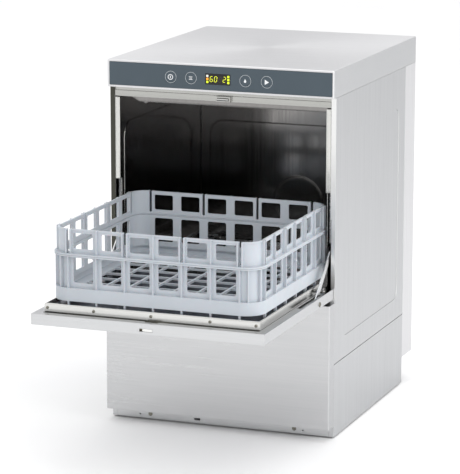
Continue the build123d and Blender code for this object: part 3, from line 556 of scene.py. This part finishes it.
# ---------------------------------------------------------------- door slot insert
def slot_insert(shape):
    """A pale moulded insert just behind the slot in the door's edge."""
    low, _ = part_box("door_outer")
    y, z0, z1 = low[1] + 0.5 * MM, low[2] + 5.3 * MM, low[2] + 10.1 * MM
    corner = 1.2 * MM
    x0, x1 = -7.5 * MM, 11.7 * MM
    outline = [(x0 + corner, z0), (x1 - corner, z0), (x1, z0 + corner), (x1, z1 - corner),
               (x1 - corner, z1), (x0 + corner, z1), (x0, z1 - corner), (x0, z0 + corner)]
    prism(shape, outline, y, 1.0 * MM)


finish["insert"] = moulded_plastic("insert", srgb(236, 236, 234), 0.35, 0.03)
piece("door_slot_insert", mesh_of("door_slot_insert", slot_insert), "insert", "door")


# ---------------------------------------------------------------- stay springs
def coil(shape, low, high, wire):
    """A close-wound tension spring between two heights, with straight hooks."""
    radius, hook, pitch = (high.x - low.x) / 2 - wire, 6 * MM, wire * 2.6
    cx, cy = (low.x + high.x) / 2, (low.y + high.y) / 2
    bottom, top = low.z + hook, high.z - hook
    turns = int((top - bottom) / pitch)
    steps, sides = turns * 14, 6
    path = [Vector((cx, cy, low.z + wire))]
    for i in range(steps + 1):
        angle = 2 * math.pi * turns * i / steps
        path.append(Vector((cx + radius * math.cos(angle), cy + radius * math.sin(angle),
                            bottom + (top - bottom) * i / steps)))
    path.append(Vector((cx, cy, high.z - wire)))
    previous = None
    for i, point in enumerate(path):
        ahead = path[min(i + 1, len(path) - 1)] - path[max(i - 1, 0)]
        side = ahead.orthogonal().normalized() if abs(ahead.z) > ahead.length * 0.9 else \
            (Vector((point.x - cx, point.y - cy, 0))).normalized()
        up = ahead.cross(side).normalized()
        ring = [shape.verts.new(point + wire * (math.cos(2 * math.pi * k / sides) * side
                                                + math.sin(2 * math.pi * k / sides) * up))
                for k in range(sides)]
        if previous:
            for k in range(sides):
                n = (k + 1) % sides
                shape.faces.new((previous[k], previous[n], ring[n], ring[k]))
        else:
            shape.faces.new(ring[::-1])
        previous = ring
    shape.faces.new(previous)


def springs(shape):
    for low, high in solid_boxes("stay_springs"):
        coil(shape, low, high, 0.55 * MM)


coils = piece("stay_spring_coils", mesh_of("stay_spring_coils", springs, smooth=True), "arm_steel",
              "cabinet")
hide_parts("stay_springs")
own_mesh(coils)


# ---------------------------------------------------------------- studio
def studio_floor(shape):
    """A floor that curves up into a backdrop far behind the object."""
    wide, near, far, radius, tall = 14.0, -9.0, 7.0, 3.0, 7.0
    profile = [(near, 0.0), (far, 0.0)]
    profile += [(far + radius * math.sin(math.radians(a)), radius * (1 - math.cos(math.radians(a))))
                for a in range(6, 91, 6)]
    profile.append((far + radius, tall))
    left = [shape.verts.new((-wide, y, z)) for y, z in profile]
    right = [shape.verts.new((wide, y, z)) for y, z in profile]
    for i in range(len(profile) - 1):
        shape.faces.new((left[i], right[i], right[i + 1], left[i + 1]))


paper = Shader("studio_paper")
paper.link(paper.mix(paper.remap(paper.noise(2.0, 3), 0, 1), srgb(250, 250, 250),
                     srgb(247, 247, 248)), paper.surface.inputs["Base Color"])
paper.set(Roughness=0.9)
floor = bpy.data.objects.new("studio_floor", mesh_of("studio_floor", studio_floor, smooth=True))
floor.data.materials.append(paper.material)
scene.collection.objects.link(floor)

world = bpy.data.worlds.new("studio")
scene.world = world
world.use_nodes = True
background = world.node_tree.nodes["Background"]
background.inputs["Color"].default_value = (1.0, 1.0, 1.0, 1.0)
background.inputs["Strength"].default_value = 1.07      # white paper renders as white


def soft_light(name, place, aim, width, height, power):
    """A rectangular soft box that looks at a point."""
    data = bpy.data.lights.new(name, "AREA")
    data.shape = "RECTANGLE"
    data.size, data.size_y = width, height
    data.energy = power
    item = bpy.data.objects.new(name, data)
    item.location = place
    item.rotation_mode = "QUATERNION"
    item.rotation_quaternion = (Vector(aim) - Vector(place)).to_track_quat("-Z", "Y")
    scene.collection.objects.link(item)


soft_light("key_light", place=(3.6, -1.2, 1.7), aim=(0, -0.2, 0.4), width=2.4, height=1.6,
           power=52)
soft_light("top_light", place=(0.3, 0.4, 3.4), aim=(0, 0, 0.5), width=2.6, height=2.6, power=25)


# ---------------------------------------------------------------- camera
# Solved on the photograph's straight edges: the place and the turn, in metres and radians
camera_place = (1.748, -4.684, 1.4066)
focal_length, sensor_width = 203.6, 36
yaw, pitch, roll = 0.3586, -0.2066, 0.0008
forward = Vector((-math.sin(yaw) * math.cos(pitch), math.cos(yaw) * math.cos(pitch),
                  math.sin(pitch)))
level_right = Vector((math.cos(yaw), math.sin(yaw), 0))
level_up = level_right.cross(forward)
right = math.cos(roll) * level_right + math.sin(roll) * level_up
up = math.cos(roll) * level_up - math.sin(roll) * level_right
camera_data = bpy.data.cameras.new("camera")
camera = bpy.data.objects.new("camera", camera_data)
camera.matrix_world = Matrix((
    (right.x, up.x, -forward.x, camera_place[0]),
    (right.y, up.y, -forward.y, camera_place[1]),
    (right.z, up.z, -forward.z, camera_place[2]),
    (0, 0, 0, 1)))
camera_data.sensor_width = sensor_width
camera_data.lens = focal_length
camera_data.clip_end = 100
scene.collection.objects.link(camera)
scene.camera = camera
scene.view_settings.view_transform = "Standard"
